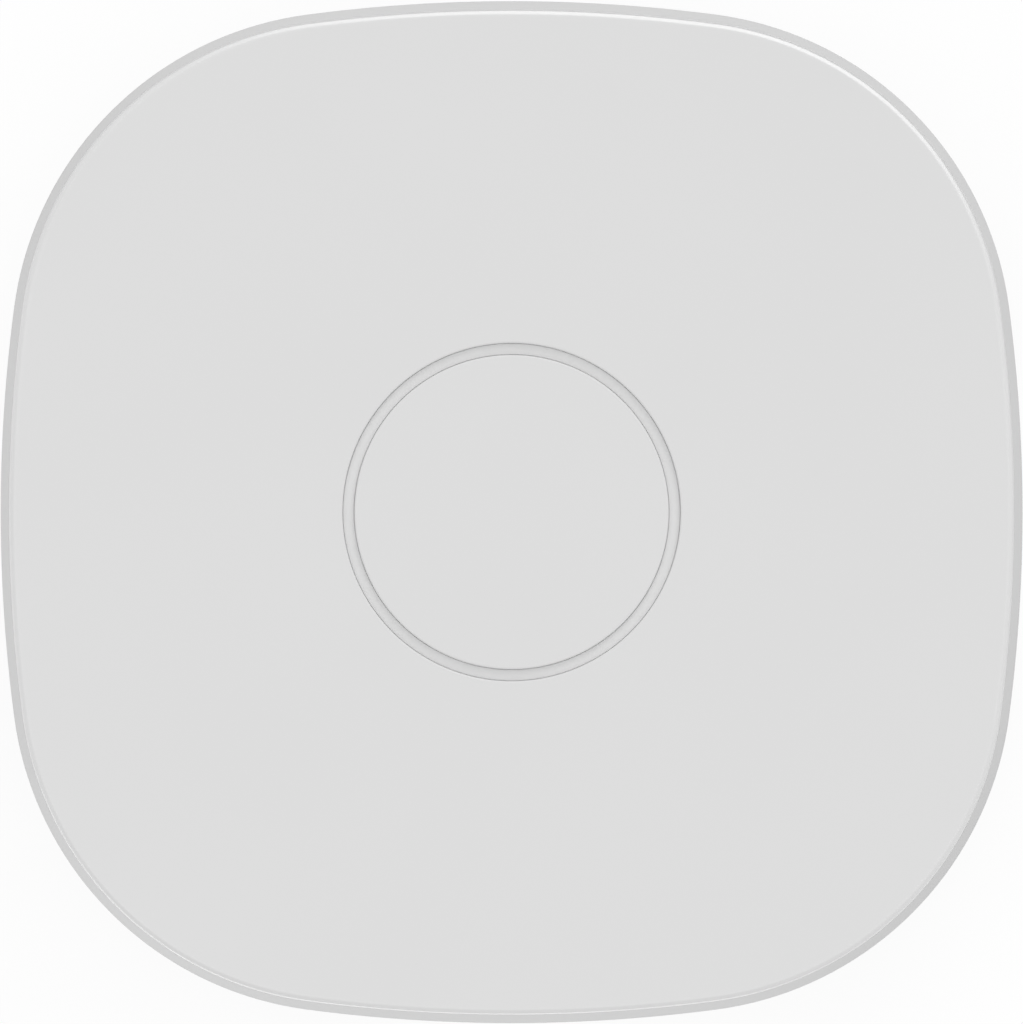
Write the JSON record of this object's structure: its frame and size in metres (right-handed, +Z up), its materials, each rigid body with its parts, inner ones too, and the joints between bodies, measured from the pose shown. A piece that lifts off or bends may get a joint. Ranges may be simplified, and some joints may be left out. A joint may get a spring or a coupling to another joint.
{
  "type": "zigbee gateway",
  "caption": "Low rounded-square home radio gateway with a round push button in a recessed light ring, a network socket and a power socket at the rear.",
  "frame": {"origin": "under the middle of the case, on the surface that the feet stand on", "axes": "+Z up through the button, +Y towards the rear wall with the sockets, +X to the right seen from the front"},
  "size_m": [0.095, 0.095, 0.026],
  "materials": {
    "cover_plastic": "fine satin moulding",
    "housing_plastic": "fine satin moulding",
    "base_plastic": "spark-eroded matte",
    "button_plastic": "fine satin moulding",
    "light_plastic": "milky, smooth",
    "foot_rubber": "matte",
    "screw_steel": "zinc plated",
    "circuit_board": "solder mask",
    "white_board": "white solder mask",
    "socket_steel": "nickel plated",
    "socket_plastic": "moulded",
    "contact_gold": "gold plated",
    "chip_plastic": "moulded",
    "can_tin": "tin plated",
    "capacitor_can": "drawn",
    "ferrite": "sintered",
    "passive_ceramic": "fired",
    "tape": "bonding sheet",
    "lamp_plastic": "clear over phosphor",
    "indicator_plastic": "clear, unlit",
    "carrier_plastic": "moulded"
  },
  "bodies": {
    "case": {"top_cover": "cover_plastic", "housing": "housing_plastic", "base": "base_plastic", "light_guide": "light_plastic", "rubber_feet": "foot_rubber", "housing_screws": "screw_steel", "button_board_screws": "screw_steel", "main_board_screws": "screw_steel", "main_board": "circuit_board", "button_board": "white_board", "cover_tape": "tape", "button_carrier": "carrier_plastic", "button_switch_body": "chip_plastic", "button_switch_terminals": "can_tin", "ring_lamps": "lamp_plastic", "board_socket": "socket_plastic", "board_header": "socket_plastic", "header_pins": "contact_gold", "ethernet_jack_shell": "socket_steel", "ethernet_jack_insert": "socket_plastic", "ethernet_jack_contacts": "contact_gold", "ethernet_jack_lamps": "indicator_plastic", "usb_socket_shell": "socket_steel", "usb_socket_tongue": "socket_plastic", "usb_socket_contacts": "contact_gold", "network_transformer": "chip_plastic", "network_chip": "chip_plastic", "processor_chip": "chip_plastic", "processor_can": "can_tin", "memory_chip": "chip_plastic", "storage_capacitors": "capacitor_can", "power_inductor": "ferrite", "power_regulator": "chip_plastic", "timing_crystals": "can_tin", "small_passives": "passive_ceramic", "zigbee_module_board": "circuit_board", "zigbee_module_can": "can_tin", "zigbee_antenna": "contact_gold", "reset_switch_body": "chip_plastic"},
    "button": {"button_cap": "button_plastic", "button_switch_plunger": "chip_plastic"},
    "reset": {"reset_switch_plunger": "chip_plastic"}
  },
  "joints": [
    {"name": "button_press", "type": "slide", "parent": "case", "child": "button", "axis": [0, 0, -1], "range_m": [0, 0.0005], "stiffness_N_per_m": 3000, "springref_m": -0.0002},
    {"name": "reset_press", "type": "slide", "parent": "case", "child": "reset", "axis": [0, -1, 0], "range_m": [0, 0.00025], "stiffness_N_per_m": 3000, "springref_m": -0.0001}
  ]
}
